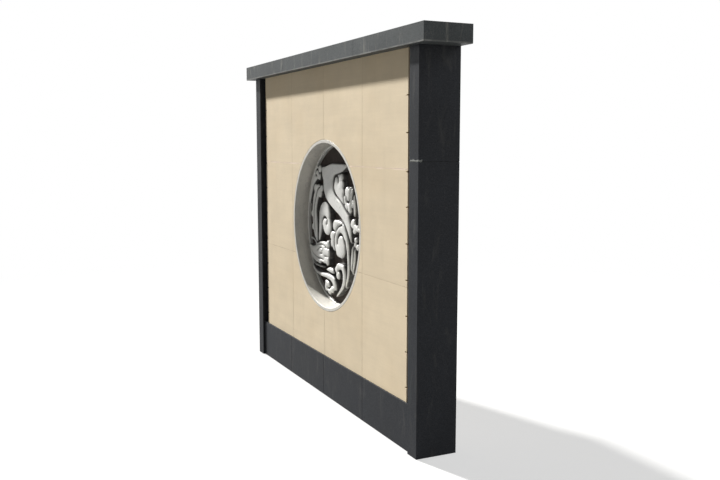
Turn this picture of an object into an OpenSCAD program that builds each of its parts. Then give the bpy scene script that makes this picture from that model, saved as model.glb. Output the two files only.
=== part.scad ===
// Garden feature wall with a round moon opening: granite columns and lintel, a sandstone slab
// face on a masonry core, and a round niche holding carved cloud scrolls.
// Millimetres. X runs along the wall, Y runs from the front (-Y) to the back, Z is up.

/* [Columns] */
// Clear width between the two columns
clear_w = 2440; // [2300:10:3000]
// Width of each column, along the wall
column_w = 100; // [60:5:200]
// Depth of each column, front to back
column_d = 250; // [225:5:350]
// Height of the columns, from the ground to the underside of the lintel
column_h = 2200; // [1950:10:2600]

/* [Lintel] */
// Thickness of the lintel
lintel_h = 100; // [60:5:200]
// How far the lintel stands in front of the columns
lintel_front = 40; // [10:5:100]
// How far the lintel runs past the outer face of each column
lintel_end = 115; // [20:5:300]
// Length of the middle one of the three lintel stones
lintel_mid_l = 1200; // [600:20:1800]

/* [Base course] */
// Height of the base course under the slabs
base_h = 270; // [100:10:400]
// How far the base course stands in front of the slab face
base_step = 10; // [0:1:20]

/* [Slab face] */
// Thickness of the sandstone slabs
slab_t = 30; // [20:1:50]
// Depth of the slab face behind the front of the columns
slab_recess = 25; // [15:1:60]
// Open shadow gap between the slabs and each column
shadow_gap = 60; // [30:1:100]
// How far the inner slabs of a course reach past the stone lining of the opening
slab_margin = 20; // [10:5:150]
// Width of the open joint between slabs
slab_joint = 3; // [1:0.5:8]

/* [Edge clips] */
// Height between the clips that hold the slab edges
clip_pitch = 200; // [120:10:400]
// Height of the lowest clip above the base course
clip_first = 80; // [40:10:150]
// Length of a clip along the wall
clip_l = 40; // [20:1:60]
// Height of a clip
clip_h = 5; // [3:0.5:10]
// How far a clip stands out of the core
clip_d = 18; // [8:1:26]

/* [Moon opening] */
// Diameter of the opening inside its stone lining
opening_d = 1100; // [900:10:1120]
// Height of the middle of the opening above the ground
opening_z = 1150; // [1000:10:1400]
// Thickness of the stone lining round the opening
lining_t = 20; // [10:1:25]
// Depth of the niche from the slab face to the backing disc
niche_depth = 125; // [90:5:150]
// Thickness of the backing disc
backing_t = 20; // [10:1:30]
// Open joint between the lining and the slabs cut round it
lining_joint = 2; // [1:0.5:6]

/* [Carving] */
// Depth of the carved scrolls at their crests
scroll_h = 46; // [30:1:60]
// Depth of the grooves in the scrolls
groove_h = 20; // [4:1:24]
// How far the rounded edge of a crown reaches in
crown_round = 7.5; // [1:0.5:9]
// Steps that make up the rounded edge
crown_steps = 2; // [1:1:2]
// Gap between two scrolls that stand close together
seam = 2; // [1:0.5:4]
// Width of the thinnest strip of crown that is left standing
thin_strip = 2.4; // [1:0.2:5]
// Width of the plain rim round the carving
rim_w = 14; // [6:1:20]
// Depth of the plain rim
rim_h = 22; // [10:1:40]

/* [Hidden] */

$fn = 96;
fit = 0.3;

granite = "#3a3d40";
granite_light = "#6c6f70";
sandstone = "#ddcfb4";
masonry = "#a59b8c";
pale_stone = "#b9b7b2";
carved_stone = "#c9cac8";
backing_stone = "#3f3b3a";
clip_steel = "#8a8178";

// Places across the wall
inner_x = clear_w / 2;
outer_x = inner_x + column_w;
lintel_x = outer_x + lintel_end;
face_x = inner_x - shadow_gap;

// Places through the wall, with the origin midway between lintel front and back
total_d = column_d + lintel_front;
back_y = total_d / 2;
lintel_y = -total_d / 2;
column_y = back_y - column_d;
face_y = column_y + slab_recess;
core_y = face_y + slab_t;
backing_y = face_y + niche_depth;
rear_y = backing_y + backing_t;

// Places up the wall
opening_r = opening_d / 2;
lining_r = opening_r + lining_t;
hole_r = lining_r + fit;
cut_r = lining_r + lining_joint;
inner_slab_w = lining_r + slab_margin;
course_h = (column_h - base_h) / 3;

// A box from its low corner to its high corner
module block(low, high) {
    translate(low) cube(high - low);
}

// A bar along Y round the middle of the opening
module round_bar(r, y0, y1) {
    translate([0, y1, opening_z]) rotate([90, 0, 0]) cylinder(r = r, h = y1 - y0);
}

module base_course() {
    color(granite) block([-inner_x, face_y - base_step, 0], [inner_x, rear_y, base_h]);
}

module column(side) {
    color(granite) translate([side < 0 ? -outer_x : inner_x, column_y, 0])
        cube([column_w, column_d, column_h]);
}

module left_column() { column(-1); }
module right_column() { column(1); }

module lintel_stone(x0, x1) {
    color(granite_light) block([x0, lintel_y, column_h], [x1, back_y, column_h + lintel_h]);
}

module lintel_left() { lintel_stone(-lintel_x, -lintel_mid_l / 2); }
module lintel_middle() { lintel_stone(-lintel_mid_l / 2, lintel_mid_l / 2); }
module lintel_right() { lintel_stone(lintel_mid_l / 2, lintel_x); }

// Plain leaf of masonry that closes the wall behind the niche
module back_wall() {
    color(masonry) block([-inner_x, rear_y, 0], [inner_x, back_y, column_h]);
}

// One quarter of the masonry core round the niche
module core_quarter(side, level) {
    color(masonry) difference() {
        block([side < 0 ? -inner_x : 0, core_y, level < 0 ? base_h : opening_z],
              [side < 0 ? 0 : inner_x, rear_y, level < 0 ? opening_z : column_h]);
        round_bar(hole_r, core_y - 1, rear_y + 1);
    }
}

module core_lower_left() { core_quarter(-1, -1); }
module core_lower_right() { core_quarter(1, -1); }
module core_upper_left() { core_quarter(-1, 1); }
module core_upper_right() { core_quarter(1, 1); }

// Edges of the four slabs in a course, from left to right
slab_edges = [-face_x, -inner_slab_w, 0, inner_slab_w, face_x];

// One sandstone slab, cut round the opening where it meets it
module slab(column, course) {
    left = slab_edges[column - 1] + (column > 1 ? slab_joint / 2 : 0);
    right = slab_edges[column] - (column < 4 ? slab_joint / 2 : 0);
    low = base_h + course * course_h + (course > 0 ? slab_joint / 2 : 0);
    high = base_h + (course + 1) * course_h - (course < 2 ? slab_joint / 2 : 0);
    color(sandstone) difference() {
        block([left, face_y, low], [right, core_y, high]);
        round_bar(cut_r, face_y - 1, core_y + 1);
    }
}

module slab_bottom_1() { slab(1, 0); }
module slab_bottom_2() { slab(2, 0); }
module slab_bottom_3() { slab(3, 0); }
module slab_bottom_4() { slab(4, 0); }
module slab_middle_1() { slab(1, 1); }
module slab_middle_2() { slab(2, 1); }
module slab_middle_3() { slab(3, 1); }
module slab_middle_4() { slab(4, 1); }
module slab_top_1() { slab(1, 2); }
module slab_top_2() { slab(2, 2); }
module slab_top_3() { slab(3, 2); }
module slab_top_4() { slab(4, 2); }

// Flat steel clips on the core in the shadow gap, beside the edges of the slabs
module clips(side) {
    color(clip_steel)
        for (z = [base_h + clip_first : clip_pitch : column_h - clip_pitch / 2])
            translate([side < 0 ? -face_x - clip_l - fit : face_x + fit, core_y - clip_d, z])
                cube([clip_l, clip_d, clip_h]);
}

module left_clips() { clips(-1); }
module right_clips() { clips(1); }

// One quarter of the stone lining that stands on the backing disc
module lining(side, level) {
    color(pale_stone) intersection() {
        difference() {
            round_bar(lining_r, face_y, backing_y);
            round_bar(opening_r, face_y - 1, backing_y + 1);
        }
        block([side < 0 ? -lining_r : 0, face_y, level < 0 ? opening_z - lining_r : opening_z],
              [side < 0 ? 0 : lining_r, backing_y, level < 0 ? opening_z : opening_z + lining_r]);
    }
}

module lining_lower_left() { lining(-1, -1); }
module lining_lower_right() { lining(1, -1); }
module lining_upper_left() { lining(-1, 1); }
module lining_upper_right() { lining(1, 1); }

module backing_disc() {
    color(backing_stone) round_bar(lining_r, backing_y, rear_y);
}

// Plain raised rim between the lining and the carving
module carving_rim() {
    color(carved_stone) difference() {
        round_bar(opening_r - fit, backing_y - rim_h, backing_y);
        round_bar(opening_r - rim_w, backing_y - rim_h - 1, backing_y + 1);
    }
}

// Drawing of the carving. A point is [across, up, half width] from the middle of the opening,
// in thousandths of the opening's radius.
unit = opening_r / 1000;

// Height of the plain wall of a scroll, under its crown
wall_h = scroll_h - groove_h;

function smooth(p0, p1, p2, p3, t) =
    0.5 * (2 * p1 + (p2 - p0) * t + (2 * p0 - 5 * p1 + 4 * p2 - p3) * t * t
    + (3 * p1 - p0 - 3 * p2 + p3) * t * t * t);

// A smooth path through hand-placed points, with n steps between each pair
function path(points, n) = [
    for (i = [0 : len(points) - 2]) for (k = [0 : n - 1])
        smooth(points[max(i - 1, 0)], points[i], points[i + 1],
               points[min(i + 2, len(points) - 1)], k / n),
    points[len(points) - 1]
];

// More sides on a wider stroke
function sides(w) = w > 90 ? 32 : w > 45 ? 20 : w > 12 ? 14 : 8;

module lobe(p) {
    translate(unit * [p[0], p[1]]) circle(r = unit * p[2], $fn = sides(p[2]));
}

// Outline of round lobes
module lobes(list) {
    for (p = list) lobe(p);
}

// Outline of a band with round ends, along a smooth path
module band(points, n = 2) {
    p = path(points, n);
    for (i = [0 : len(p) - 2])
        hull() {
            lobe(p[i]);
            lobe(p[i + 1]);
        }
}

// The first outline, kept clear of the second by the gap between two scrolls
module beside() {
    difference() {
        children(0);
        offset(delta = seam) children(1);
    }
}

// The outline kept clear of the rim
module inside_rim() {
    intersection() {
        children();
        circle(r = opening_r - rim_w - seam);
    }
}

// The outline set in from its edges, without strips that are too thin to stand
module inset(d) {
    offset(delta = thin_strip / 2) offset(delta = -d - thin_strip / 2) children();
}

// A carved form on the backing disc. The first child is its outline, the second its grooves.
module carved() {
    color(carved_stone) translate([0, backing_y, opening_z]) rotate([90, 0, 0]) {
        linear_extrude(wall_h) inside_rim() children(0);
        for (k = [1 : crown_steps]) let (a = 90 * k / crown_steps)
            translate([0, 0, wall_h / 2]) linear_extrude(wall_h / 2 + groove_h * sin(a))
                inset(crown_round * (1 - cos(a))) difference() {
                    inside_rim() children(0);
                    if ($children > 1) children(1);
                }
    }
}

// Broad wave along the top that sweeps down to the right
module trunk_outline() {
    band([[300, 728, 20], [180, 704, 50], [60, 690, 62], [-60, 672, 82], [-165, 612, 135],
        [-225, 520, 165], [-200, 416, 146], [-105, 322, 106], [10, 260, 94], [118, 218, 92],
        [214, 168, 87], [300, 104, 78], [366, 20, 64], [410, -76, 36], [440, -180, 6]]);
    band([[-165, 640, 108], [-290, 602, 118], [-372, 650, 58], [-426, 696, 12]]);
}

// Groove that coils round the head and runs on between the trunk and its neighbours
module head_groove() {
    band([[84, 536, 9], [68, 586, 10], [14, 608, 11], [-46, 590, 12], [-76, 530, 14], [-68, 458, 14],
        [-22, 390, 12], [44, 344, 11], [138, 302, 10], [236, 240, 9], [306, 192, 8], [380, 142, 5]]);
}

module scroll_trunk() {
    carved() {
        trunk_outline();
        head_groove();
    }
}

// Round head in the bend of the trunk
module head_outline() {
    beside() {
        union() {
            band([[80, 545, 90], [70, 480, 120], [120, 412, 100], [180, 340, 50], [236, 284, 16]]);
            lobes([[165, 588, 52], [168, 505, 62], [184, 425, 54]]);
        }
        trunk_outline();
    }
}

module scroll_top_head() {
    carved() {
        head_outline();
        head_groove();
    }
}

// Small curl at the upper right, with a blade beside it
module scroll_upper_curl() {
    carved() {
        beside() {
            union() {
                lobes([[365, 335, 112], [268, 332, 51], [318, 250, 56], [330, 428, 60],
                    [425, 425, 66], [462, 290, 54], [410, 222, 52]]);
                band([[510, 400, 6], [532, 320, 22], [542, 230, 27], [530, 150, 12]]);
            }
            union() {
                trunk_outline();
                head_outline();
            }
        }
        union() {
            band([[456, 480, 7], [420, 428, 10], [412, 350, 10], [372, 302, 10], [324, 316, 8],
                [310, 366, 5]]);
            band([[486, 430, 5], [462, 350, 6], [444, 270, 6], [460, 196, 5]], 1);
        }
    }
}

// Lobed curl left of the middle, its stem running down to the shell
module scroll_left_curl() {
    carved() {
        union() {
            lobes([[-345, 110, 165], [-270, -20, 130]]);
            band([[-430, 100, 96], [-472, 0, 56], [-492, -100, 40], [-516, -180, 26], [-548, -240, 8]]);
        }
        band([[-426, -74, 8], [-426, 16, 11], [-380, 68, 12], [-304, 66, 10], [-260, 28, 8],
            [-276, -6, 5]]);
    }
}

// Cloud column at the far left
module scroll_left_cloud() {
    carved() {
        union() {
            band([[-560, 415, 70], [-645, 300, 74], [-690, 160, 68], [-675, 20, 72], [-655, -110, 64],
                [-622, -205, 34], [-600, -250, 10]]);
            lobes([[-508, 372, 64], [-448, 430, 46], [-640, 425, 60], [-745, 95, 52], [-728, -75, 50]]);
        }
        band([[-520, 440, 5], [-585, 400, 8], [-660, 250, 7], [-700, 120, 6], [-690, -20, 6],
            [-665, -130, 4]]);
    }
}

// Large spiral in the middle, with outer lobes and a long band down the right
module scroll_center_spiral() {
    carved() {
        union() {
            lobes([[120, -170, 160], [150, -270, 124], [92, -272, 116], [-18, -4, 74], [-50, -150, 72],
                [-108, -140, 66], [-98, -226, 62], [-36, -268, 54]]);
            band([[50, 8, 64], [150, -8, 64], [236, -52, 57], [300, -125, 44], [336, -210, 34],
                [358, -330, 28], [366, -475, 26], [344, -592, 23], [296, -686, 15], [252, -738, 6]]);
        }
        union() {
            band([[50, -215, 10], [62, -142, 14], [122, -98, 15], [200, -116, 12], [256, -174, 12],
                [290, -255, 12], [284, -345, 10], [238, -405, 8]]);
            band([[186, 20, 5], [84, -6, 5], [8, -62, 5], [-36, -150, 5], [-36, -250, 5],
                [4, -336, 4]], 1);
        }
    }
}

// Shell of long ribs at the lower left, ending in lobes
module scroll_shell() {
    carved() {
        union() {
            band([[-880, -322, 8], [-810, -345, 30], [-715, -372, 60], [-600, -376, 98], [-480, -375, 132],
                [-350, -378, 142]]);
            band([[-868, -352, 10], [-806, -400, 30], [-725, -444, 48], [-630, -462, 64],
                [-520, -460, 80]], 1);
            lobes([[-256, -262, 54], [-254, -364, 56], [-275, -478, 56]]);
            band([[-886, -236, 5], [-800, -224, 13], [-704, -246, 12], [-630, -294, 10]], 1);
            band([[-740, -558, 5], [-650, -566, 10], [-540, -574, 12], [-430, -572, 6]], 1);
        }
        union() {
            band([[-850, -362, 4], [-740, -428, 5], [-620, -458, 6], [-500, -468, 6],
                [-390, -470, 5]], 1);
            band([[-820, -324, 4], [-700, -322, 5], [-560, -292, 6], [-440, -282, 5],
                [-330, -300, 5]], 1);
            band([[-600, -372, 4], [-500, -322, 6], [-430, -344, 7], [-436, -394, 6],
                [-510, -404, 5]], 1);
            band([[-350, -316, 4], [-205, -312, 6]], 1);
            band([[-350, -424, 4], [-210, -420, 6]], 1);
        }
    }
}

// Leaf below the shell
module scroll_leaf() {
    carved()
        band([[-318, -590, 4], [-250, -578, 25], [-187, -575, 36], [-115, -582, 33], [-62, -598, 6]]);
}

// Curl along the bottom, with a long stem from the left
module scroll_bottom_curl() {
    carved() {
        union() {
            band([[-772, -568, 6], [-705, -622, 18], [-580, -660, 24], [-430, -668, 30], [-300, -664, 34],
                [-170, -670, 40], [-80, -702, 50], [-34, -760, 44], [-12, -804, 12]]);
            lobes([[-268, -764, 78], [-292, -806, 60], [-200, -842, 52], [-122, -814, 50],
                [-68, -794, 34]]);
        }
        band([[-392, -706, 5], [-300, -706, 9], [-226, -724, 11], [-184, -766, 11], [-208, -808, 8],
            [-254, -812, 5]]);
    }
}

// Hooked curl at the lower right of the middle
module scroll_lower_curl() {
    carved() {
        union() {
            lobes([[62, -608, 56], [22, -540, 50]]);
            band([[56, -504, 48], [130, -496, 42], [200, -504, 42], [240, -562, 41], [242, -640, 38],
                [206, -716, 32], [140, -782, 24], [50, -848, 15], [-36, -890, 5]]);
        }
        band([[76, -556, 5], [120, -542, 9], [166, -566, 9]], 1);
    }
}

// Thin upright blades beside the trunk
module scroll_right_slivers() {
    carved()
        union() {
            band([[466, -205, 6], [472, -292, 21], [458, -400, 25], [425, -512, 7]]);
            band([[524, -225, 5], [540, -300, 19], [524, -400, 20], [484, -500, 14], [456, -545, 5]]);
        }
}

// Lobed curl at the right
module scroll_right_curl() {
    carved() {
        beside() {
            union() {
                lobes([[496, 58, 62], [558, 8, 54], [630, 14, 48], [530, -26, 38], [744, 70, 116],
                    [718, 180, 58], [806, 168, 64], [846, 62, 70], [800, -36, 62]]);
            }
            trunk_outline();
        }
        band([[660, 30, 5], [664, 90, 10], [712, 132, 11], [780, 120, 10], [804, 66, 8],
            [768, 34, 5]]);
    }
}

// Curl at the lower right edge
module scroll_lower_right_curl() {
    carved() {
        union() {
            lobes([[566, -126, 36], [556, -184, 34], [622, -206, 42], [736, -232, 104],
                [806, -170, 56], [822, -262, 56]]);
            band([[760, -280, 60], [764, -370, 44], [730, -460, 34], [670, -550, 24], [590, -640, 8]]);
        }
        band([[654, -250, 5], [668, -190, 10], [724, -168, 10], [772, -208, 9], [752, -248, 5]]);
    }
}

// Cloud at the upper left
module scroll_top_left_curl() {
    carved() {
        union() {
            lobes([[-588, 630, 84], [-500, 676, 50], [-530, 580, 50]]);
            band([[-620, 600, 70], [-706, 540, 60], [-774, 440, 44], [-818, 330, 30], [-846, 220, 8]]);
        }
        band([[-520, 610, 5], [-560, 668, 9], [-624, 654, 10], [-640, 598, 8], [-596, 584, 5]]);
    }
}

base_course();
left_column();
right_column();
lintel_left();
lintel_middle();
lintel_right();
back_wall();
core_lower_left();
core_lower_right();
core_upper_left();
core_upper_right();
slab_bottom_1();
slab_bottom_2();
slab_bottom_3();
slab_bottom_4();
slab_middle_1();
slab_middle_2();
slab_middle_3();
slab_middle_4();
slab_top_1();
slab_top_2();
slab_top_3();
slab_top_4();
left_clips();
right_clips();
lining_lower_left();
lining_lower_right();
lining_upper_left();
lining_upper_right();
backing_disc();
carving_rim();
scroll_trunk();
scroll_top_head();
scroll_upper_curl();
scroll_left_curl();
scroll_left_cloud();
scroll_center_spiral();
scroll_shell();
scroll_leaf();
scroll_bottom_curl();
scroll_lower_curl();
scroll_right_slivers();
scroll_right_curl();
scroll_lower_right_curl();
scroll_top_left_curl();
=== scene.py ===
import math
from functools import cached_property

import bmesh
import bpy
import numpy as np
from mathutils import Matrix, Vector
from mathutils.geometry import delaunay_2d_cdt


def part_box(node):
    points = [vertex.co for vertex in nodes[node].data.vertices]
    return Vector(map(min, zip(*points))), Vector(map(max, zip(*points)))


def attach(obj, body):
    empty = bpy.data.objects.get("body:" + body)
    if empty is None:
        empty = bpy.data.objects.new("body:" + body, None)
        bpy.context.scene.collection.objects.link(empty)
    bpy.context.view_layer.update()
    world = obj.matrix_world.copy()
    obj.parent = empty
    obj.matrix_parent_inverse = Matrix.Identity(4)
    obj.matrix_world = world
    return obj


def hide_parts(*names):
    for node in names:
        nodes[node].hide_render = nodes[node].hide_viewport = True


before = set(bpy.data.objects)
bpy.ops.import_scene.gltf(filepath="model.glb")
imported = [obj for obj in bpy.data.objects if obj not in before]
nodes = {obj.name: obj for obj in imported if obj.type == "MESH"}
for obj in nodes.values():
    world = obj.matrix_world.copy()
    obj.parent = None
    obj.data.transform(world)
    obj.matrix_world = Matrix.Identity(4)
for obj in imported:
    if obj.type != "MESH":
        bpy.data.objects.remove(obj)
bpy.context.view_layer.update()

scene = bpy.context.scene
MM = 0.001

# Places from the frame: the round opening, the wall's face, the slab joints and the lintel's underside
lining_low, lining_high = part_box("lining_upper_right")
rim_low, rim_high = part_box("carving_rim")
MIDDLE_X = 0.0
MIDDLE_Z = lining_low.z
FACE_Y = lining_low.y
BACKING_Y = lining_high.y
LINING_R = lining_high.x
OPENING_R = rim_high.x + 0.3 * MM
CUT_R = LINING_R + 2 * MM
LOWER_JOINT = (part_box("slab_bottom_1")[1].z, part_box("slab_middle_1")[0].z)
UPPER_JOINT = (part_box("slab_middle_1")[1].z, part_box("slab_top_1")[0].z)
LINTEL_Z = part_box("lintel_middle")[0].z

# Where each clip starts and ends in height, and its middle
clip_faces = sorted({round(v.co.z, 4) for v in nodes["left_clips"].data.vertices})
CLIP_SPANS = list(zip(clip_faces[0::2], clip_faces[1::2]))
CLIP_LEVELS = [(a + b) / 2 for a, b in CLIP_SPANS]

# Granite: joints between stones, and how far the arrises are eased
COLUMN_JOINT_Z = 1.6
BASE_STONES = 4
STONE_JOINT = 2 * MM
JOINT_RECESS = 1.5 * MM
JOINT_CORE_INSET = 10 * MM
JOINT_CORE_ARRIS = 0.5 * MM
LINTEL_HALF_GAP = 0.4 * MM
COLUMN_ARRIS = 1.6 * MM
BASE_ARRIS = 2 * MM
LINTEL_ARRIS = 2.2 * MM

# Slabs, their pointing and their clips
SLAB_ARRIS = 0.9 * MM
POINTING_ARRIS = 0.3 * MM
POINTING_RECESS = 0.5 * MM
POINTING_BACK = 24 * MM
CLIP_SLOT_L = 18 * MM
CLIP_SLOT_H = 7 * MM
CLIP_ARRIS = 1.1 * MM
SLAB_TONES = {
    "bottom": (0.3, 0.55, 0.45, 0.7),
    "middle": (0.5, 0.35, 0.6, 0.4),
    "top": (0.6, 0.45, 0.8, 0.62),
}

# Lining of the niche and the rim round the carving
LINING_HALF_GAP = 0.35 * MM
LINING_INNER_EDGE = 2 * MM
LINING_OUTER_EDGE = 1.2 * MM
LINING_STEPS = 90
RIM_REACH = 14 * MM
RIM_INNER_EDGE = 5 * MM
RIM_OUTER_EDGE = 2 * MM
RIM_STEPS = 360

# Carving: the grid it is made on, its wall, grooves and crowns, and blurs in cells
GRID = 1.9 * MM
LEDGE = 2.2 * MM
EDGE_WALL = 16 * MM
GROOVE_FLOOR = 20 * MM
GROOVE_FLOOR_REACH = 11 * MM
DOME = 8.5 * MM
DOME_SHARE = 0.8
SWELL_REACH = 24 * MM
SINK_REACH = 3 * MM
SINK_DEPTH = 6 * MM
CREST_CLEARANCE = 0.1 * MM
GROOVE_LEAD = 0.4 * MM
TOOL_MARK = 0.25 * MM
OUTLINE_BLUR = 1.3
FINE_BLUR = 0.75
BROAD_BLUR = 3.2
# How much shallower a scroll's grooves are, and over how many cells they are softened
PLAIN_GROOVES = (0.0, 1.1)
FAINT_GROOVES = {"scroll_shell": (1.5 * MM, 2.6)}
# Dust and painted shade fill a hollow this deep, and painted shade thickens between two depths below the
# crests nearby
HOLLOW_DEPTH = 4 * MM
CREST_CELLS = 6
SHADE_START_DROP = 3 * MM
DARK_DROP = 12 * MM

# Back wall
TROWEL_GRID = 30 * MM

# Camera: where the photograph was taken from, and where it is turned, in degrees
CAMERA_PLACE = (5.108, -2.230, 1.690)
CAMERA_YAW = 25.303
CAMERA_PITCH = 6.534
CAMERA_LENS = 41.7
CAMERA_SENSOR = 36.0

# Faces that meet at less than 50 degrees are shaded as one
SAME_FACE = math.cos(math.radians(50))

# Colours as seen, 0 to 255
SANDSTONE = (219, 203, 175)
SAND_WARM = (212, 190, 154)
SAND_STAIN = (168, 152, 126)
SAND_PIT = (128, 110, 86)
MORTAR_HAZE = (240, 222, 208)
GRANITE_DARK = (44, 46, 50)
GRANITE_LINTEL = (74, 78, 79)
PALE_CRYSTAL = (150, 151, 150)
DUST_STREAK = (166, 163, 155)
CHIPPED = (158, 160, 156)
PALE_ARRIS = (150, 150, 146)
PALE_STONE = (214, 211, 203)
CARVED_STONE = (226, 226, 222)
VEIN = (142, 143, 143)
# Dust and painted shade in the carving's hollows and on its walls
CAVITY_DUST_AND_SHADE = (44, 41, 40)
BACKING = (64, 57, 53)
BACKING_DUST = (126, 118, 108)
RENDER = (178, 168, 150)
RENDER_DAMP = (120, 112, 98)
CORE = (104, 90, 78)
STEEL = (120, 112, 104)
RUST = (96, 66, 46)
POINTING = (232, 212, 194)
UPRIGHT_JOINT = (202, 185, 157)
JOINT_DARK = (58, 58, 58)


def linear(colour):
    """A colour of 0 to 255 as the linear RGBA that the shaders take."""
    out = []
    for c in colour:
        c = c / 255
        out.append(c / 12.92 if c <= 0.04045 else ((c + 0.055) / 1.055) ** 2.4)
    return (*out, 1.0)


class Shader:
    """Nodes of a material or world, made by short calls. Scales are in cells a metre."""

    def __init__(self, owner, output="OutputMaterial"):
        self.owner = owner
        owner.use_nodes = True
        self.tree = owner.node_tree
        self.tree.nodes.clear()
        self.output = self.node(output)

    @cached_property
    def place(self):
        """Object coordinates, in metres."""
        return self.node("TexCoord").outputs["Object"]

    def node(self, kind, inputs=None, **props):
        made = self.tree.nodes.new("ShaderNode" + kind)
        for key, value in props.items():
            setattr(made, key, value)
        for key, value in (inputs or {}).items():
            self.put(made.inputs[key], value)
        return made

    def put(self, socket, value):
        if isinstance(value, bpy.types.NodeSocket):
            self.tree.links.new(value, socket)
        else:
            socket.default_value = value

    def stretched(self, scale):
        return self.node("Mapping", {"Vector": self.place, "Scale": scale}).outputs[0]

    def noise(self, scale, detail=3.0, rough=0.55, where=None, distort=0.0):
        return self.node("TexNoise", {
            "Vector": where or self.place, "Scale": scale, "Detail": detail,
            "Roughness": rough, "Distortion": distort}).outputs[0]

    def cells(self, scale):
        return self.node("TexVoronoi", {"Vector": self.place, "Scale": scale}).outputs

    def ramp(self, value, low, high, out_low=0.0, out_high=1.0, smooth=True):
        return self.node("MapRange", {
            0: value, 1: low, 2: high, 3: out_low, 4: out_high},
            interpolation_type="SMOOTHSTEP" if smooth else "LINEAR").outputs[0]

    def math(self, operation, a, b=0.0):
        return self.node("Math", {0: a, 1: b}, operation=operation).outputs[0]

    def product(self, first, *others):
        for other in others:
            first = self.math("MULTIPLY", first, other)
        return first

    def mix(self, share, a, b, blend="MIX"):
        return self.node("Mix", {0: share, 6: a, 7: b}, data_type="RGBA", blend_type=blend).outputs[2]

    def tinted(self, colour, factor):
        """The colour made lighter or darker by a factor that varies over the surface."""
        grey = self.node("CombineColor", {0: factor, 1: factor, 2: factor}).outputs[0]
        return self.mix(1.0, linear(colour), grey, "MULTIPLY")

    def split(self, colour):
        return self.node("SeparateColor", {0: colour}).outputs

    def axes(self, vector):
        return self.node("SeparateXYZ", {0: vector}).outputs

    def attribute(self, name):
        return self.node("Attribute", attribute_name=name).outputs["Fac"]

    def bump(self, height, strength, distance, normal=None):
        inputs = {"Height": height, "Strength": strength, "Distance": distance}
        if normal:
            inputs["Normal"] = normal
        return self.node("Bump", inputs).outputs[0]

    def seen(self):
        """1 for what the camera sees, also in a mirror or through glass, and 0 for what only lights."""
        rays = self.node("LightPath").outputs
        mirrored = self.math("MAXIMUM", rays["Is Glossy Ray"], rays["Is Transmission Ray"])
        return self.math("MAXIMUM", rays["Is Camera Ray"], mirrored)

    def end(self, shader):
        self.tree.links.new(shader.outputs[0], self.output.inputs[0])
        return self.owner

    def finish(self, colour, roughness, normal, specular, metallic=0.0):
        return self.end(self.node("BsdfPrincipled", {
            "Base Color": colour, "Roughness": roughness, "Normal": normal,
            "Specular IOR Level": specular, "Metallic": metallic}))


def new_material(name):
    return Shader(bpy.data.materials.new(name))


def granite(name, colour, streak_share, speckle_share):
    """Fine-grained granite: crystals of a few millimetres, cloudy patches, streaks down the face."""
    s = new_material(name)
    crystal = s.split(s.cells(400.0)["Color"])
    fine = s.noise(1300.0, 2.0)
    cloud = s.noise(2.6, 5.0, 0.6)
    streak = s.noise(1.0, 5.0, 0.65, s.stretched((15.0, 15.0, 4.0)), 0.6)
    tone = s.product(s.ramp(crystal[0], 0.0, 1.0, 0.62, 1.34, False),
                     s.ramp(fine, 0.3, 0.7, 0.86, 1.14),
                     s.ramp(cloud, 0.3, 0.7, 0.84, 1.12))
    base = s.tinted(colour, tone)
    pale = s.product(s.ramp(crystal[1], 0.93, 0.97), speckle_share)
    base = s.mix(pale, base, linear(PALE_CRYSTAL))
    facing_up = s.axes(s.node("NewGeometry").outputs["Normal"])[2]
    upright = s.ramp(s.math("ABSOLUTE", facing_up), 0.3, 0.8, 1.0, 0.12)
    dust = s.product(s.ramp(streak, 0.52, 0.78), streak_share, upright)
    base = s.mix(dust, base, linear(DUST_STREAK))
    rough = s.ramp(cloud, 0.3, 0.7, 0.42, 0.55)
    normal = s.bump(fine, 0.12, 0.4 * MM, s.bump(crystal[2], 0.05, 0.4 * MM))
    return s, base, rough, normal, upright


def granite_column():
    """The columns' granite, with a pale chip in the joint at the front corner of the near column."""
    s, base, rough, normal, _ = granite("dark_granite", GRANITE_DARK, 0.08, 0.07)
    x, y, z = s.axes(s.place)
    wander = s.product(s.math("SUBTRACT", s.noise(42.0, 4.0, 0.65), 0.5), 22 * MM)
    chip_z = COLUMN_JOINT_Z + 5 * MM
    off = s.math("ABSOLUTE", s.math("SUBTRACT", s.math("ADD", z, wander), chip_z))
    chip = s.product(s.ramp(off, 4 * MM, 8 * MM, 1.0, 0.0),
                     s.ramp(s.math("ADD", y, wander), -88 * MM, -78 * MM, 1.0, 0.0),
                     s.ramp(x, 1.225, 1.235))
    base = s.mix(s.product(chip, 0.75), base, linear(CHIPPED))
    return s.finish(base, rough, normal, 0.13)


def granite_lintel():
    """The lintel's granite, with a paler line along its lower arris."""
    s, base, rough, normal, upright = granite("lintel_granite", GRANITE_LINTEL, 0.52, 0.16)
    z = s.axes(s.place)[2]
    pale_line = s.product(s.ramp(z, LINTEL_Z + 4 * MM, LINTEL_Z + 11 * MM, 1.0, 0.0),
                     s.ramp(s.noise(12.0, 4.0), 0.35, 0.6, 0.25, 0.6), upright)
    base = s.mix(pale_line, base, linear(PALE_ARRIS))
    return s.finish(base, rough, normal, 0.16)


def sand_stains(s, base):
    """Warm clouds, and faint drips down the face."""
    warm = s.product(s.ramp(s.noise(1.7, 3.0), 0.45, 0.75), 0.3)
    base = s.mix(warm, base, linear(SAND_WARM))
    drip = s.noise(1.0, 4.0, 0.6, s.stretched((11.0, 11.0, 0.7)))
    return s.mix(s.product(s.ramp(drip, 0.55, 0.85), 0.16), base, linear(SAND_STAIN))


def sand_pits(s):
    """1 in the small pits, which one cell in eight has."""
    cells = s.cells(210.0)
    rare = s.ramp(s.split(cells["Color"])[0], 0.86, 0.9)
    return s.product(s.ramp(cells["Distance"], 0.05, 0.16, 1.0, 0.0), rare)


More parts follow.
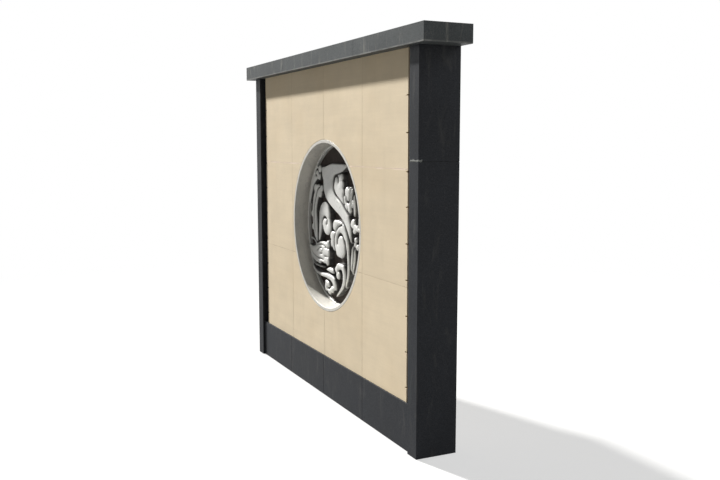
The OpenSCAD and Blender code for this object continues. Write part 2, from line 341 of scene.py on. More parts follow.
def mortar_haze(s, base):
    """Pale mortar smeared beside the level joints, most of it at the upper one."""
    z = s.axes(s.place)[2]
    smear = s.ramp(s.noise(1.0, 4.0, 0.6, s.stretched((9.0, 9.0, 40.0))), 0.38, 0.62)
    for joint, share in ((UPPER_JOINT, 0.6), (LOWER_JOINT, 0.1)):
        off = s.math("ABSOLUTE", s.math("SUBTRACT", z, sum(joint) / 2))
        haze = s.product(s.ramp(off, 2 * MM, 9 * MM, share, 0.0), smear)
        base = s.mix(haze, base, linear(MORTAR_HAZE))
    return base


def sandstone():
    """Warm sandstone with faint bedding, stains, pits, and mortar beside its joints."""
    s = new_material("sandstone")
    bedding = s.noise(1.0, 5.0, 0.6, s.stretched((1.3, 1.3, 9.0)), 0.5)
    fine_bed = s.noise(1.0, 4.0, 0.55, s.stretched((3.0, 3.0, 70.0)), 0.3)
    mottle = s.noise(5.0, 5.0, 0.6)
    grain = s.noise(850.0, 2.0)
    tone = s.product(s.ramp(s.attribute("tone"), 0.0, 1.0, 0.955, 1.045, False),
                     s.ramp(bedding, 0.3, 0.7, 0.975, 1.02),
                     s.ramp(fine_bed, 0.3, 0.7, 0.988, 1.012),
                     s.ramp(mottle, 0.3, 0.7, 0.965, 1.03),
                     s.ramp(grain, 0.25, 0.75, 0.94, 1.06))
    base = sand_stains(s, s.tinted(SANDSTONE, tone))
    pit = sand_pits(s)
    base = s.mix(s.product(pit, 0.45), base, linear(SAND_PIT))
    base = mortar_haze(s, base)
    normal = s.bump(grain, 0.22, 0.4 * MM)
    normal = s.bump(s.math("SUBTRACT", fine_bed, pit), 0.16, 0.8 * MM, normal)
    return s.finish(base, 0.82, normal, 0.3)


def pale_stone(name, colour, roughness, vein_share, hollow_dust_and_shade=False):
    """Pale fine stone with faint cloudy veins, and dust and painted shade where the mesh marks cavities."""
    s = new_material(name)
    cloud = s.noise(4.0, 6.0, 0.6, None, 1.2)
    vein = s.noise(7.0, 7.0, 0.55, None, 2.2)
    speck = s.noise(520.0, 2.0)
    tone = s.product(s.ramp(cloud, 0.3, 0.7, 0.93, 1.03),
                     s.ramp(speck, 0.25, 0.75, 0.955, 1.04))
    base = s.tinted(colour, tone)
    thin = s.ramp(s.math("ABSOLUTE", s.math("SUBTRACT", vein, 0.5)), 0.0, 0.028, 1.0, 0.0)
    base = s.mix(s.product(thin, vein_share), base, linear(VEIN))
    rough = s.ramp(cloud, 0.3, 0.7, roughness, roughness + 0.08)
    if hollow_dust_and_shade:
        # Dust and painted shade: the cavity share darkens the hollows and the scrolls' walls towards
        # near-black
        dust = s.product(s.attribute("cavity"), s.ramp(s.noise(38.0, 3.0), 0.25, 0.6, 0.88, 1.0))
        base = s.mix(s.product(dust, 0.95), base, linear(CAVITY_DUST_AND_SHADE))
        rough = s.math("ADD", rough, s.product(dust, 0.6))
    normal = s.bump(speck, 0.08, 0.3 * MM)
    normal = s.bump(s.noise(95.0, 2.0), 0.08, 0.8 * MM, normal)
    return s.finish(base, rough, normal, 0.5)


def backing_stone():
    """Dark dressed ground behind the scrolls, stippled by the point of a tool."""
    s = new_material("backing_stone")
    stipple = s.cells(230.0)["Distance"]
    tone = s.product(s.ramp(stipple, 0.0, 0.8, 0.72, 1.2),
                     s.ramp(s.noise(7.0, 5.0), 0.3, 0.7, 0.82, 1.16))
    dust = s.product(s.ramp(s.noise(14.0, 5.0), 0.56, 0.78), 0.22)
    base = s.mix(dust, s.tinted(BACKING, tone), linear(BACKING_DUST))
    return s.finish(base, 0.85, s.bump(stipple, 0.5, 1.2 * MM), 0.25)


def rendered(name, colour, trowel_strength):
    """Sand and cement render, with trowel marks and fine grit, and damp at its foot."""
    s = new_material(name)
    grit = s.noise(700.0, 2.0)
    sweep = s.noise(1.0, 5.0, 0.6, s.stretched((5.0, 5.0, 9.0)), 1.5)
    tone = s.product(s.ramp(grit, 0.25, 0.75, 0.9, 1.08),
                     s.ramp(s.noise(1.4, 5.0, 0.6), 0.3, 0.7, 0.9, 1.06),
                     s.ramp(sweep, 0.3, 0.7, 0.95, 1.04))
    damp = s.product(s.ramp(s.axes(s.place)[2], 0.02, 0.34, 1.0, 0.0),
                     s.ramp(s.noise(6.0, 4.0), 0.3, 0.6, 0.3, 1.0), 0.4)
    base = s.mix(damp, s.tinted(colour, tone), linear(RENDER_DAMP))
    normal = s.bump(grit, 0.35, 0.6 * MM)
    return s.finish(base, 0.9, s.bump(sweep, trowel_strength, 3 * MM, normal), 0.2)


def pointing(name, colour):
    """Sandy mortar, patchy along the joint."""
    s = new_material(name)
    grit = s.noise(900.0, 2.0)
    tone = s.product(s.ramp(grit, 0.25, 0.75, 0.9, 1.08),
                     s.ramp(s.noise(9.0, 4.0), 0.3, 0.7, 0.86, 1.08))
    return s.finish(s.tinted(colour, tone), 0.9, s.bump(grit, 0.3, 0.5 * MM), 0.2)


def dull_steel():
    """Brushed steel gone dull, with rust in patches."""
    s = new_material("clip_steel")
    brush = s.noise(1.0, 3.0, 0.6, s.stretched((30.0, 900.0, 900.0)))
    rust = s.ramp(s.noise(60.0, 4.0), 0.55, 0.72)
    base = s.tinted(STEEL, s.ramp(brush, 0.3, 0.7, 0.88, 1.1))
    base = s.mix(s.product(rust, 0.5), base, linear(RUST))
    rough = s.math("ADD", s.product(rust, 0.3), 0.42)
    return s.finish(base, rough, s.bump(brush, 0.1, 0.2 * MM), 0.5, 0.85)


LOOKS = {
    "dark_granite": granite_column(),
    "lintel_granite": granite_lintel(),
    "sandstone": sandstone(),
    "pale_stone": pale_stone("pale_stone", PALE_STONE, 0.42, 0.22),
    "carved_stone": pale_stone("carved_stone", CARVED_STONE, 0.27, 0.16, True),
    "backing_stone": backing_stone(),
    "masonry": rendered("masonry", RENDER, 0.5),
    "core": rendered("core_render", CORE, 0.3),
    "clip_steel": dull_steel(),
    "pointing": pointing("pointing", POINTING),
    "upright_joint": pointing("upright_joint", UPRIGHT_JOINT),
    "joint": pointing("dark_joint", JOINT_DARK),
}


def weighted_normals(mesh):
    """Corner normals that follow the large faces, so that only the eased arrises look round."""
    around = [[] for _ in mesh.vertices]
    for p in mesh.polygons:
        for v in p.vertices:
            around[v].append((p.normal.copy(), p.area))
    normals = []
    for p in mesh.polygons:
        for v in p.vertices:
            total = Vector()
            for normal, area in around[v]:
                if p.normal.dot(normal) > SAME_FACE:
                    total += normal * area
            normals.append(total.normalized())
    mesh.shade_smooth()
    mesh.normals_split_custom_set(normals)


def piece(name, mesh, looks, replaced=(), sharp=None):
    """An object that rides on the wall, stands for CAD nodes and takes its finish from a slot."""
    made = bpy.data.objects.new(name, mesh)
    scene.collection.objects.link(made)
    for look in looks:
        mesh.materials.append(LOOKS[look])
    if sharp:
        mesh.shade_smooth()
        mesh.set_sharp_from_angle(angle=math.radians(sharp))
    else:
        weighted_normals(mesh)
    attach(made, "root")
    if replaced:
        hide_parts(*replaced)


def eased(bm, edges, width, segments=2):
    """Rounds the given edges a little, as a mason eases an arris."""
    bmesh.ops.bevel(bm, geom=edges, offset=width, offset_type="OFFSET", segments=segments,
                    profile=0.6, affect="EDGES", clamp_overlap=False)


def to_mesh(bm, name):
    bmesh.ops.recalc_face_normals(bm, faces=bm.faces)
    mesh = bpy.data.meshes.new(name)
    bm.to_mesh(mesh)
    bm.free()
    return mesh


def stone_block(bm, low, high, arris, material=0, segments=2):
    """Adds a box with eased arrises to a mesh."""
    part = bmesh.new()
    for v in bmesh.ops.create_cube(part, size=1.0)["verts"]:
        v.co = Vector([low[i] + (v.co[i] + 0.5) * (high[i] - low[i]) for i in range(3)])
    eased(part, part.edges[:], arris, segments)
    for f in part.faces:
        f.material_index = material
    spare = bpy.data.meshes.new("spare")
    part.to_mesh(spare)
    part.free()
    bm.from_mesh(spare)
    bpy.data.meshes.remove(spare)


def jointed_stones(node, axis, cuts, arris):
    """Granite stones that fill a node's box, cut across one axis, with a recessed joint at each cut."""
    low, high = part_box(node)
    places = [low[axis], *cuts, high[axis]]
    bm = bmesh.new()
    for i in range(len(places) - 1):
        first, last = list(low), list(high)
        first[axis] = places[i] + (STONE_JOINT / 2 if i else 0)
        last[axis] = places[i + 1] - (STONE_JOINT / 2 if i < len(cuts) else 0)
        stone_block(bm, first, last, arris)
    inset = Vector([JOINT_CORE_INSET if i == axis else JOINT_RECESS for i in range(3)])
    stone_block(bm, low + inset, high - inset, JOINT_CORE_ARRIS, 1, 1)
    name = node + "_stones"
    piece(name, to_mesh(bm, name), ["dark_granite", "joint"], [node])


def columns():
    """Two stones each, one on the other."""
    for side in ("left", "right"):
        jointed_stones(side + "_column", 2, [COLUMN_JOINT_Z], COLUMN_ARRIS)


def base_course():
    """Long stones end to end."""
    low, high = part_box("base_course")
    cuts = np.linspace(low.x, high.x, BASE_STONES + 1)[1:-1]
    jointed_stones("base_course", 0, cuts, BASE_ARRIS)


def lintel():
    """Three stones, butted close."""
    for part in ("left", "middle", "right"):
        node = "lintel_" + part
        low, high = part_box(node)
        gap = Vector((LINTEL_HALF_GAP, 0, 0))
        first = low if part == "left" else low + gap
        last = high if part == "right" else high - gap
        bm = bmesh.new()
        stone_block(bm, first, last, LINTEL_ARRIS)
        name = node + "_stone"
        piece(name, to_mesh(bm, name), ["lintel_granite"], [node])


def in_opening(p):
    """Whether a place of the face, as (x, z), lies in the hole that the slabs leave."""
    return math.hypot(p[0] - MIDDLE_X, p[1] - MIDDLE_Z) < CUT_R


def opening_between(p, q):
    """The point of the opening between two near places, one inside it and one outside."""
    for _ in range(40):
        middle = (p + q) / 2
        if in_opening(middle) == in_opening(p):
            p = middle
        else:
            q = middle
    return (p + q) / 2


def opening_arc(start, end):
    """Points of the opening between two of its points, about one a degree."""
    a, b = [math.atan2(p.y - MIDDLE_Z, p.x - MIDDLE_X) for p in (start, end)]
    turn = (b - a + math.pi) % (2 * math.pi) - math.pi
    count = max(2, round(abs(math.degrees(turn))))
    angles = [a + turn * k / count for k in range(1, count)]
    return [Vector((MIDDLE_X + CUT_R * math.cos(t), MIDDLE_Z + CUT_R * math.sin(t))) for t in angles]


def cut_outline(low, high):
    """The slab's face as seen from the front, as (x, z), less the round opening."""
    corners = [Vector(c) for c in ((low.x, low.z), (high.x, low.z), (high.x, high.z), (low.x, high.z))]
    steps = 400
    ring = [corners[i].lerp(corners[(i + 1) % 4], k / steps) for i in range(4) for k in range(steps)]
    inside = [in_opening(p) for p in ring]
    if not any(inside):
        return corners
    start = next(i for i in range(len(ring)) if inside[i - 1] and not inside[i])
    order = [(start + i) % len(ring) for i in range(len(ring))]
    kept = [i for i in order if not inside[i]]
    first = opening_between(ring[kept[0] - 1], ring[kept[0]])
    last = opening_between(ring[kept[-1]], ring[(kept[-1] + 1) % len(ring)])
    line = [first] + [ring[i] for i in kept if i % steps == 0] + [last] + opening_arc(last, first)
    # A corner of the box can lie on the opening, where the slab ends in a tip
    return [p for i, p in enumerate(line) if (p - line[i - 1]).length > 0.5 * MM]


def notched(outline, low, high, side):
    """The outline with a short slot at each clip in its outer edge, on the given side."""
    x = high.x if side > 0 else low.x
    slots = [min(z, high.z - 3 * CLIP_SLOT_H / 2) for z in CLIP_LEVELS if low.z + CLIP_SLOT_H < z < high.z]
    points = []
    for i, p in enumerate(outline):
        points.append(p)
        q = outline[(i + 1) % len(outline)]
        if abs(p.x - x) > 1e-6 or abs(q.x - x) > 1e-6:
            continue
        up = 1 if q.y > p.y else -1
        for z in slots[::up]:
            inner = x - side * CLIP_SLOT_L
            near, far = z - up * CLIP_SLOT_H / 2, z + up * CLIP_SLOT_H / 2
            points += [Vector((x, near)), Vector((inner, near)), Vector((inner, far)), Vector((x, far))]
    return points


def slab(node, tone):
    """A cut sandstone slab, its arrises eased, with slots for the clips in an outer slab."""
    low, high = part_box(node)
    outline = cut_outline(low, high)
    if node.endswith(("_1", "_4")):
        outline = notched(outline, low, high, 1 if node.endswith("_4") else -1)
    bm = bmesh.new()
    face = bm.faces.new([bm.verts.new((p.x, low.y, p.y)) for p in outline])
    solid = bmesh.ops.extrude_face_region(bm, geom=[face])
    for v in solid["geom"]:
        if isinstance(v, bmesh.types.BMVert):
            v.co.y = high.y
    bm.normal_update()
    edges = [e for e in bm.edges if abs(e.verts[0].co.y - e.verts[1].co.y) < 1e-6]
    eased(bm, edges, SLAB_ARRIS)
    mesh = to_mesh(bm, node + "_stone")
    mesh.attributes.new("tone", "FLOAT", "POINT").data.foreach_set("value", [tone] * len(mesh.vertices))
    piece(node + "_stone", mesh, ["sandstone"], [node])


def slabs():
    """Three courses of four slabs, each with its own tone."""
    for course, tones in SLAB_TONES.items():
        for i, tone in enumerate(tones):
            slab("slab_%s_%d" % (course, i + 1), tone)


def outside_opening(start, end, centre, off):
    """The parts of a straight joint that lie outside the opening; off is its distance from the middle."""
    radius = CUT_R + 1 * MM
    if abs(off) >= radius:
        return [(start, end)]
    half = math.sqrt(radius ** 2 - off ** 2)
    return [s for s in ((start, centre - half), (centre + half, end)) if s[1] - s[0] > 4 * MM]


def slab_pointing():
    """Recessed mortar between the slabs: pale in the upper joint, the stone's own colour elsewhere."""
    low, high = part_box("slab_bottom_1")[0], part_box("slab_top_4")[1]
    bm = bmesh.new()

    def strip(x0, x1, z0, z1, material):
        stone_block(bm, (x0, FACE_Y + POINTING_RECESS, z0), (x1, FACE_Y + POINTING_BACK, z1),
                    POINTING_ARRIS, material, 1)

    for (z0, z1), material in ((LOWER_JOINT, 1), (UPPER_JOINT, 0)):
        for x0, x1 in outside_opening(low.x, high.x, MIDDLE_X, (z0 + z1) / 2 - MIDDLE_Z):
            strip(x0, x1, z0, z1, material)
    rows = [(low.z, LOWER_JOINT[0]), (LOWER_JOINT[1], UPPER_JOINT[0]), (UPPER_JOINT[1], high.z)]
    for i in (1, 2, 3):
        x0, x1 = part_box("slab_top_%d" % i)[1].x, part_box("slab_top_%d" % (i + 1))[0].x
        for row in rows:
            for z0, z1 in outside_opening(*row, MIDDLE_Z, (x0 + x1) / 2 - MIDDLE_X):
                strip(x0, x1, z0, z1, 1)
    piece("slab_pointing", to_mesh(bm, "slab_pointing"), ["pointing", "upright_joint"])


def turned(bm, profile, start, end, steps):
    """Turns a closed profile of (radius, y) round the middle of the opening."""
    whole = abs(end - start) >= 2 * math.pi - 1e-6
    count = steps if whole else steps + 1
    rings = []
    for k in range(count):
        a = start + (end - start) * k / steps
        rings.append([bm.verts.new((MIDDLE_X + r * math.cos(a), y, MIDDLE_Z + r * math.sin(a)))
                      for r, y in profile])
    for k in range(count if whole else count - 1):
        here, there = rings[k], rings[(k + 1) % count]
        for i in range(len(profile)):
            j = (i + 1) % len(profile)
            bm.faces.new((here[i], here[j], there[j], there[i]))
    if not whole:
        bm.faces.new(rings[0])
        bm.faces.new(reversed(rings[-1]))


def soft_corner(r, y, dr, dy, size, steps=3):
    """Points round one corner of a profile; dr and dy point into the profile."""
    out = []
    for k in range(steps + 1):
        a = math.pi / 2 * k / steps
        out.append((r + dr * size * (1 - math.sin(a)), y + dy * size * (1 - math.cos(a))))
    return out


def lining():
    """Four quarters round the niche, with a soft front edge."""
    gap = LINING_HALF_GAP / OPENING_R
    inner = soft_corner(OPENING_R, FACE_Y, 1, 1, LINING_INNER_EDGE)
    outer = soft_corner(LINING_R, FACE_Y, -1, 1, LINING_OUTER_EDGE)
    profile = inner[::-1] + outer + [(LINING_R, BACKING_Y), (OPENING_R, BACKING_Y)]
    for i, place in enumerate(("upper_right", "upper_left", "lower_left", "lower_right")):
        node = "lining_" + place
        bm = bmesh.new()
        turned(bm, profile, i * math.pi / 2 + gap, (i + 1) * math.pi / 2 - gap, LINING_STEPS)
        piece(node + "_stone", to_mesh(bm, node), ["pale_stone"], [node])


def carving_rim():
    """A thin rim round the carving, with soft edges and no dust or painted shade."""
    inner_r = OPENING_R - RIM_REACH
    profile = soft_corner(inner_r, rim_low.y, 1, 1, RIM_INNER_EDGE, 5)[::-1]
    profile += soft_corner(rim_high.x, rim_low.y, -1, 1, RIM_OUTER_EDGE)
    profile += [(rim_high.x, rim_high.y), (inner_r, rim_high.y)]
    bm = bmesh.new()
    turned(bm, profile, 0.0, 2 * math.pi, RIM_STEPS)
    mesh = to_mesh(bm, "carving_rim")
    mesh.attributes.new("cavity", "FLOAT", "POINT")
    piece("carving_rim_stone", mesh, ["carved_stone"], ["carving_rim"])


def merged_triangles(node):
    """The node's corners, joined where they meet, and its triangles."""
    mesh = nodes[node].data
    mesh.calc_loop_triangles()
    points = np.array([v.co for v in mesh.vertices], float)
    triangles = np.array([t.vertices for t in mesh.loop_triangles], int)
    rounded, index = np.unique(np.round(points, 6), axis=0, return_inverse=True)
    return rounded, index.reshape(-1)[triangles]


def flat_border(points, triangles, level):
    """Border segments, as (x, z) pairs, of the flat faces that lie in one plane y = level."""
    flat = triangles[np.all(np.abs(points[triangles][:, :, 1] - level) < 2e-5, axis=1)]
    count = {}
    for t in flat:
        for a, b in ((t[0], t[1]), (t[1], t[2]), (t[2], t[0])):
            key = (min(a, b), max(a, b))
            count[key] = count.get(key, 0) + 1
    edges = [k for k, n in count.items() if n == 1]
    return np.array([[points[a][[0, 2]], points[b][[0, 2]]] for a, b in edges])


def wall_top(points, triangles):
    """The plane of the ledge at the top of a scroll's wall, the flat level next to its back."""
    corners = points[triangles]
    sides = np.cross(corners[:, 1] - corners[:, 0], corners[:, 2] - corners[:, 0])
    area = np.linalg.norm(sides, axis=1) / 2
    flat = np.ptp(corners[:, :, 1], axis=1) < 1e-5
    levels, place = np.unique(np.round(corners[flat][:, 0, 1], 4), return_inverse=True)
    shares = np.bincount(place.reshape(-1), area[flat]) / area[flat].sum()
    return levels[shares > 0.01][-2]


def scroll_borders(points, triangles):
    """Borders of a scroll: its outline at the back, and the foot of its crowns on the ledge."""
    outline = flat_border(points, triangles, points[:, 1].max())
    ledge = flat_border(points, triangles, wall_top(points, triangles))
    on_outline = {tuple(np.round(p, 5)) for s in outline for p in s}
    crowns = [s for s in ledge if not all(tuple(np.round(p, 5)) in on_outline for p in s)]
    return outline, np.array(crowns)


def signed_distance(places, segments):
    """Distance from each place to the border, positive inside."""
    a, b = segments[:, 0], segments[:, 1]
    along = b - a
    length2 = np.maximum((along ** 2).sum(1), 1e-18)
    out = np.empty(len(places))
    batch = 8000
    for k in range(0, len(places), batch):
        p = places[k:k + batch][:, None, :]
        t = np.clip(((p - a) * along).sum(2) / length2, 0, 1)
        near = np.sqrt((((a + t[:, :, None] * along) - p) ** 2).sum(2).min(1))
        above = (a[:, 1] > p[:, :, 1]) != (b[:, 1] > p[:, :, 1])
        rise = np.where(np.abs(along[:, 1]) < 1e-15, 1e-15, along[:, 1])
        cross = a[:, 0] + (p[:, :, 1] - a[:, 1]) * along[:, 0] / rise
        odd = (above & (p[:, :, 0] < cross)).sum(1) % 2
        out[k:k + batch] = np.where(odd == 1, near, -near)
    return out


def shifted(grid, axis, reach):
    """The grid moved by each number of cells up to reach, both ways, its end values repeated."""
    padded = np.pad(grid, [(reach, reach) if i == axis else (0, 0) for i in (0, 1)], mode="edge")
    return [np.take(padded, range(k, k + grid.shape[axis]), axis) for k in range(2 * reach + 1)]


def highest_near(grid, reach):
    """The highest value within some cells of each cell."""
    for axis in (0, 1):
        grid = np.max(shifted(grid, axis, reach), axis=0)
    return grid


def blurred(grid, cells):
    """Gaussian blur of a grid."""
    reach = max(1, int(3 * cells + 0.5))
    kernel = np.exp(-0.5 * (np.arange(-reach, reach + 1) / cells) ** 2)
    kernel /= kernel.sum()
    for axis in (0, 1):
        grid = sum(share * part for share, part in zip(kernel, shifted(grid, axis, reach)))
    return grid


def blurred_inside(grid, inside, cells):
    """Gaussian blur over the cells inside the outline only."""
    return blurred(grid * inside, cells) / np.maximum(blurred(inside.astype(float), cells), 1e-6)


def gentle(share):
    """A share of 0 to 1 that starts and ends gently."""
    return share * share * (3 - 2 * share)


def scroll_grid(points):
    """Grid of x and z over a scroll, three cells wider all round."""
    low, high = points.min(0), points.max(0)
    margin = 3 * GRID
    xs = np.arange(low[0] - margin, high[0] + margin + GRID, GRID)
    zs = np.arange(low[2] - margin, high[2] + margin + GRID, GRID)
    return np.meshgrid(xs, zs)


def distance_fields(node, points, triangles, gx, gz):
    """Distance in from the outline, and in from the foot of the crowns, over the grid."""
    outline, crowns = scroll_borders(points, triangles)
    places = np.stack([gx.ravel(), gz.ravel()], axis=1)
    raised, spread = FAINT_GROOVES.get(node, PLAIN_GROOVES)
    edge = blurred(signed_distance(places, outline).reshape(gx.shape), OUTLINE_BLUR)
    groove = signed_distance(places, crowns).reshape(gx.shape) + LEDGE + raised
    return edge, np.minimum(blurred(groove, spread), edge + GROOVE_LEAD)


def relief_heights(edge, groove, crest):
    """Height above the backing: a wall at the outline, then a rounded crown, with sunk grooves."""
    foot = EDGE_WALL + (GROOVE_FLOOR - EDGE_WALL) * gentle(np.clip(edge / GROOVE_FLOOR_REACH, 0, 1))
    rise = np.clip(groove / DOME, 0, 1)
    dome = np.sqrt(1 - (1 - rise) ** 2)
    swell = 1 - np.exp(-np.clip(groove, 0, None) / SWELL_REACH)
    height = foot + (crest - foot) * (DOME_SHARE * dome + (1 - DOME_SHARE) * swell)
    return height - SINK_DEPTH * np.clip(-groove / SINK_REACH, 0, 1)


def tool_marks(gx, gz):
    """Slight hollows and ridges that the chisel leaves, 30 to 40 mm apart."""
    return TOOL_MARK * np.sin(gx * 190 + 3 * np.sin(gz * 80)) * np.sin(gz * 170 + 2 * np.sin(gx * 90))


def dust_and_shade_shares(height, hollow):
    """Share of dust and painted shade: in hollows, and well below the crests nearby."""
    drop = highest_near(height, CREST_CELLS) - height
    below = np.clip((drop - SHADE_START_DROP) / (DARK_DROP - SHADE_START_DROP), 0, 1)
    return np.maximum(np.clip(hollow / HOLLOW_DEPTH, 0, 1), gentle(below))


def off_zero(grid, least):
    """The grid with its smallest values moved away from zero, so that no face is a sliver."""
    return np.where(np.abs(grid) < least, np.where(grid > 0, least, -least), grid)


def cell_corners(grid):
    """The grid's values at the four corners of each cell, in order round it."""
    return [grid[:-1, :-1], grid[:-1, 1:], grid[1:, 1:], grid[1:, :-1]]


def back_faces(verts, border):
    """Triangles that close the flat back inside its border, a list of pairs of vertex numbers."""
    used = sorted({v for pair in border for v in pair})
    place = {v: i for i, v in enumerate(used)}
    flat = [Vector((verts[v][0], verts[v][2])) for v in used]
    edges = [(place[a], place[b]) for a, b in border]
    found = delaunay_2d_cdt(flat, edges, [], 0, 1e-7)
    points, triangles, source = found[0], found[2], found[3]
    middles = np.array([np.mean([points[i] for i in t], axis=0) for t in triangles])
    ends = np.array([[flat[a], flat[b]] for a, b in edges])
    inside = signed_distance(middles, ends) > 0
    return [[used[source[i][0]] for i in t] for t, keep in zip(triangles, inside) if keep]


class Relief:
    """A closed relief: a face that follows the grid's heights, a wall down from its outline, a flat back."""

    def __init__(self, gx, gz, edge, height, cavity, back):
        self.gx, self.gz, self.back = gx, gz, back
        self.edge, self.height, self.cavity = edge, height, cavity
        self.inside = edge > 0
        self.index = -np.ones(edge.shape, int)
        self.index[self.inside] = np.arange(self.inside.sum())
        corners = [gx[self.inside], back - height[self.inside], gz[self.inside]]
        self.verts = np.stack(corners, axis=1).tolist()
        # Share of dust and painted shade at each corner, kept for the mesh's cavity attribute
        self.dust = cavity[self.inside].tolist()
        self.faces = []
        self.walls = []
        self.rim = {}
        self.add_face()
        self.add_wall_and_back()

    def add_face(self):
        """Squares where all four corners are inside, and the inner part of cells that are cut."""
        around = cell_corners(self.inside)
        full, some = np.all(around, axis=0), np.any(around, axis=0)
        self.faces += np.stack([n[full] for n in cell_corners(self.index)], axis=1).tolist()
        for row, column in np.argwhere(some & ~full):
            self.add_cut_cell(row, column)

    def add_cut_cell(self, row, column):
        """The part of a cell inside the outline, and the pairs of points that the wall joins."""
        ring = [(row, column), (row, column + 1), (row + 1, column + 1), (row + 1, column)]
        corners, cuts = [], []
        for k in range(4):
            here, there = ring[k], ring[(k + 1) % 4]
            if self.inside[here]:
                corners.append(self.index[here])
            if self.inside[here] != self.inside[there]:
                vertex = self.crossing(here, there)
                corners.append(vertex)
                cuts.append((vertex, self.inside[here]))
        self.faces.append(corners)
        for k, (vertex, leaves) in enumerate(cuts):
            if leaves:
                self.walls.append((vertex, cuts[(k + 1) % len(cuts)][0]))

    def crossing(self, p, q):
        """The vertex where the outline passes between two corners of the grid."""
        key = (p, q) if p < q else (q, p)
        if key not in self.rim:
            first, second = key
            e0, e1 = self.edge[first], self.edge[second]
            t = e0 / (e0 - e1)
            inner = first if e0 > 0 else second
            x = self.gx[first] + (self.gx[second] - self.gx[first]) * t
            z = self.gz[first] + (self.gz[second] - self.gz[first]) * t
            self.rim[key] = len(self.verts)
            self.verts.append([x, self.back - min(EDGE_WALL, self.height[inner]), z])
            self.dust.append(self.cavity[inner])
        return self.rim[key]

    def add_wall_and_back(self):
        """The wall from the outline down to the back, in two bands fully darkened by dust and painted shade,
        and the back.
        """
        foot = {}
        for top in self.rim.values():
            x, _, z = self.verts[top]
            foot[top] = (len(self.verts), len(self.verts) + 1)
            self.verts += [[x, self.back - EDGE_WALL / 2, z], [x, self.back, z]]
            # Painted shade: the wall's corners take the full share of dust and shade
            self.dust += [1.0, 1.0]
        for a, b in self.walls:
            self.faces.append([b, a, foot[a][0], foot[b][0]])
            self.faces.append([foot[b][0], foot[a][0], foot[a][1], foot[b][1]])
        self.faces += back_faces(self.verts, [(foot[a][1], foot[b][1]) for a, b in self.walls])

    def mesh(self, name):
        mesh = bpy.data.meshes.new(name)
        mesh.from_pydata(self.verts, [], self.faces)
        mesh.attributes.new("cavity", "FLOAT", "POINT").data.foreach_set("value", self.dust)
        bm = bmesh.new()
        bm.from_mesh(mesh)
        bmesh.ops.recalc_face_normals(bm, faces=bm.faces)
        bm.to_mesh(mesh)
        bm.free()
        return mesh


def carved_scroll(node):
    """A carved scroll: its outline and grooves from the frame, its crowns rounded as carved stone."""
    points, triangles = merged_triangles(node)
    gx, gz = scroll_grid(points)
    edge, groove = distance_fields(node, points, triangles, gx, gz)
    inside = edge > 0
    crest = np.ptp(points[:, 1])
    rough = relief_heights(np.maximum(edge, 0), groove, crest) + tool_marks(gx, gz)
    soft = blurred_inside(rough, inside, FINE_BLUR)
    broad = blurred_inside(rough, inside, BROAD_BLUR)
    height = np.minimum(soft, crest - CREST_CLEARANCE)
    relief = Relief(gx, gz, off_zero(edge, 0.12 * GRID), height,
                    dust_and_shade_shares(height, broad - soft), points[:, 1].max())
    name = node + "_carved"
    piece(name, relief.mesh(name), ["carved_stone"], [node], sharp=48)


def scrolls():
    for node in sorted(n for n in nodes if n.startswith("scroll_")):
        carved_scroll(node)


def trowel_wave(x, z):
    """How far in the rendered back lies from its flat."""
    wave = math.sin(7.3 * x + 2.1 * math.sin(5.1 * z)) * math.sin(6.1 * z + 1.7 * math.sin(4.3 * x))
    return (0.9 + 0.8 * wave) * MM


def back_wall():
    """The rendered back, with the slight waves that a trowel leaves."""
    low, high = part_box("back_wall")
    across = int((high.x - low.x) / TROWEL_GRID)
    up = int((high.z - low.z) / TROWEL_GRID)
    xs = [low.x + (high.x - low.x) * i / across for i in range(across + 1)]
    zs = [low.z + (high.z - low.z) * j / up for j in range(up + 1)]
    bm = bmesh.new()
    flat = [[bm.verts.new((x, low.y, z)) for x in xs] for z in zs]
    waved = [[bm.verts.new((x, high.y - trowel_wave(x, z), z)) for x in xs] for z in zs]
    for grid in (flat, waved):
        for j in range(up):
            for i in range(across):
                bm.faces.new((grid[j][i], grid[j][i + 1], grid[j + 1][i + 1], grid[j + 1][i]))
    border = [(0, i) for i in range(across)] + [(j, across) for j in range(up)]
    border += [(up, i) for i in range(across, 0, -1)] + [(j, 0) for j in range(up, 0, -1)]
    for k, (j, i) in enumerate(border):
        n, m = border[(k + 1) % len(border)]
        bm.faces.new((flat[j][i], flat[n][m], waved[n][m], waved[j][i]))
    name = "back_wall_render"
    piece(name, to_mesh(bm, name), ["masonry"], ["back_wall"], sharp=40)


def clips():
    """Small plates with rounded corners in the shadow gaps beside the columns."""
    for node in ("left_clips", "right_clips"):
        low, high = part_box(node)
        bm = bmesh.new()
        for z0, z1 in CLIP_SPANS:
            stone_block(bm, (low.x, low.y, z0), (high.x, high.y, z1), CLIP_ARRIS, 0, 3)
        piece(node + "_plates", to_mesh(bm, node), ["clip_steel"], [node])


def kept_solids():
    """The frame's own solids that stay: the masonry core and the backing disc."""
    for node in sorted(nodes):
        if node.startswith("core_") or node == "backing_disc":
            nodes[node].data.materials.clear()
            nodes[node].data.materials.append(LOOKS["backing_stone" if node == "backing_disc" else "core"])


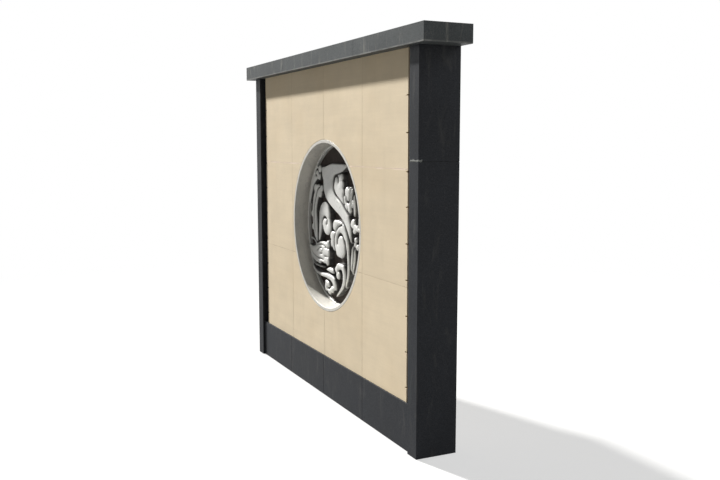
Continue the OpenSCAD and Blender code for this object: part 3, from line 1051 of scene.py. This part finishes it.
def floor():
    """A pale floor that fades to white away from the wall, and keeps the wall's shadow."""
    mesh = bpy.data.meshes.new("floor")
    bm = bmesh.new()
    bmesh.ops.create_grid(bm, x_segments=8, y_segments=8, size=40.0)
    bm.to_mesh(mesh)
    bm.free()
    made = bpy.data.objects.new("floor", mesh)
    made.location.z = -0.5 * MM
    scene.collection.objects.link(made)
    s = new_material("floor")
    distance = s.node("VectorMath", {0: s.place}, operation="LENGTH").outputs["Value"]
    by_camera = s.node("LightPath").outputs["Is Camera Ray"]
    tone = s.mix(by_camera, (0.2, 0.2, 0.197, 1), (0.6, 0.6, 0.595, 1))
    pale = s.node("BsdfDiffuse", {"Color": tone})
    white = s.node("Emission", {"Color": (1, 1, 1, 1), "Strength": 1.0})
    fade = s.product(s.ramp(distance, 1.8, 6.5, 0.5, 1.0), s.seen())
    mesh.materials.append(s.end(s.node("MixShader", {0: fade, 1: pale.outputs[0], 2: white.outputs[0]})))


def studio():
    """A world that is white where it is seen or mirrored, and a soft fill elsewhere."""
    s = Shader(bpy.data.worlds.new("studio"), "OutputWorld")
    fill = s.node("Background", {"Color": (0.97, 0.985, 1.0, 1), "Strength": 0.1})
    white = s.node("Background", {"Color": (1, 1, 1, 1), "Strength": 1.0})
    scene.world = s.end(s.node("MixShader", {0: s.seen(), 1: fill.outputs[0], 2: white.outputs[0]}))


def lamp(name, toward, softness, strength, colour=(1, 1, 1)):
    """Even light from one side; toward points to the lamp, and softness is its width in degrees."""
    light = bpy.data.lights.new(name, "SUN")
    light.angle = math.radians(softness)
    light.energy = strength
    light.color = colour
    made = bpy.data.objects.new(name, light)
    made.rotation_mode = "QUATERNION"
    made.rotation_quaternion = Vector(toward).to_track_quat("Z", "Y")
    scene.collection.objects.link(made)


def camera():
    """The camera at the photograph's place, turned to the wall."""
    data = bpy.data.cameras.new("camera")
    data.sensor_width = CAMERA_SENSOR
    data.lens = CAMERA_LENS
    made = bpy.data.objects.new("camera", data)
    made.location = CAMERA_PLACE
    yaw, pitch = math.radians(CAMERA_YAW), math.radians(CAMERA_PITCH)
    forward = Vector((-math.cos(yaw) * math.cos(pitch), math.sin(yaw) * math.cos(pitch), -math.sin(pitch)))
    made.rotation_mode = "QUATERNION"
    made.rotation_quaternion = forward.to_track_quat("-Z", "Y")
    scene.collection.objects.link(made)
    scene.camera = made


columns()
base_course()
lintel()
slabs()
slab_pointing()
lining()
carving_rim()
scrolls()
back_wall()
clips()
kept_solids()

floor()
studio()
lamp("key", (-3.3, -1.0, 2.6), 3.0, 8.9, (1.0, 0.985, 0.96))
lamp("back", (0.25, 1.6, 1.3), 40.0, 2.4)
camera()
scene.view_settings.view_transform = "Standard"
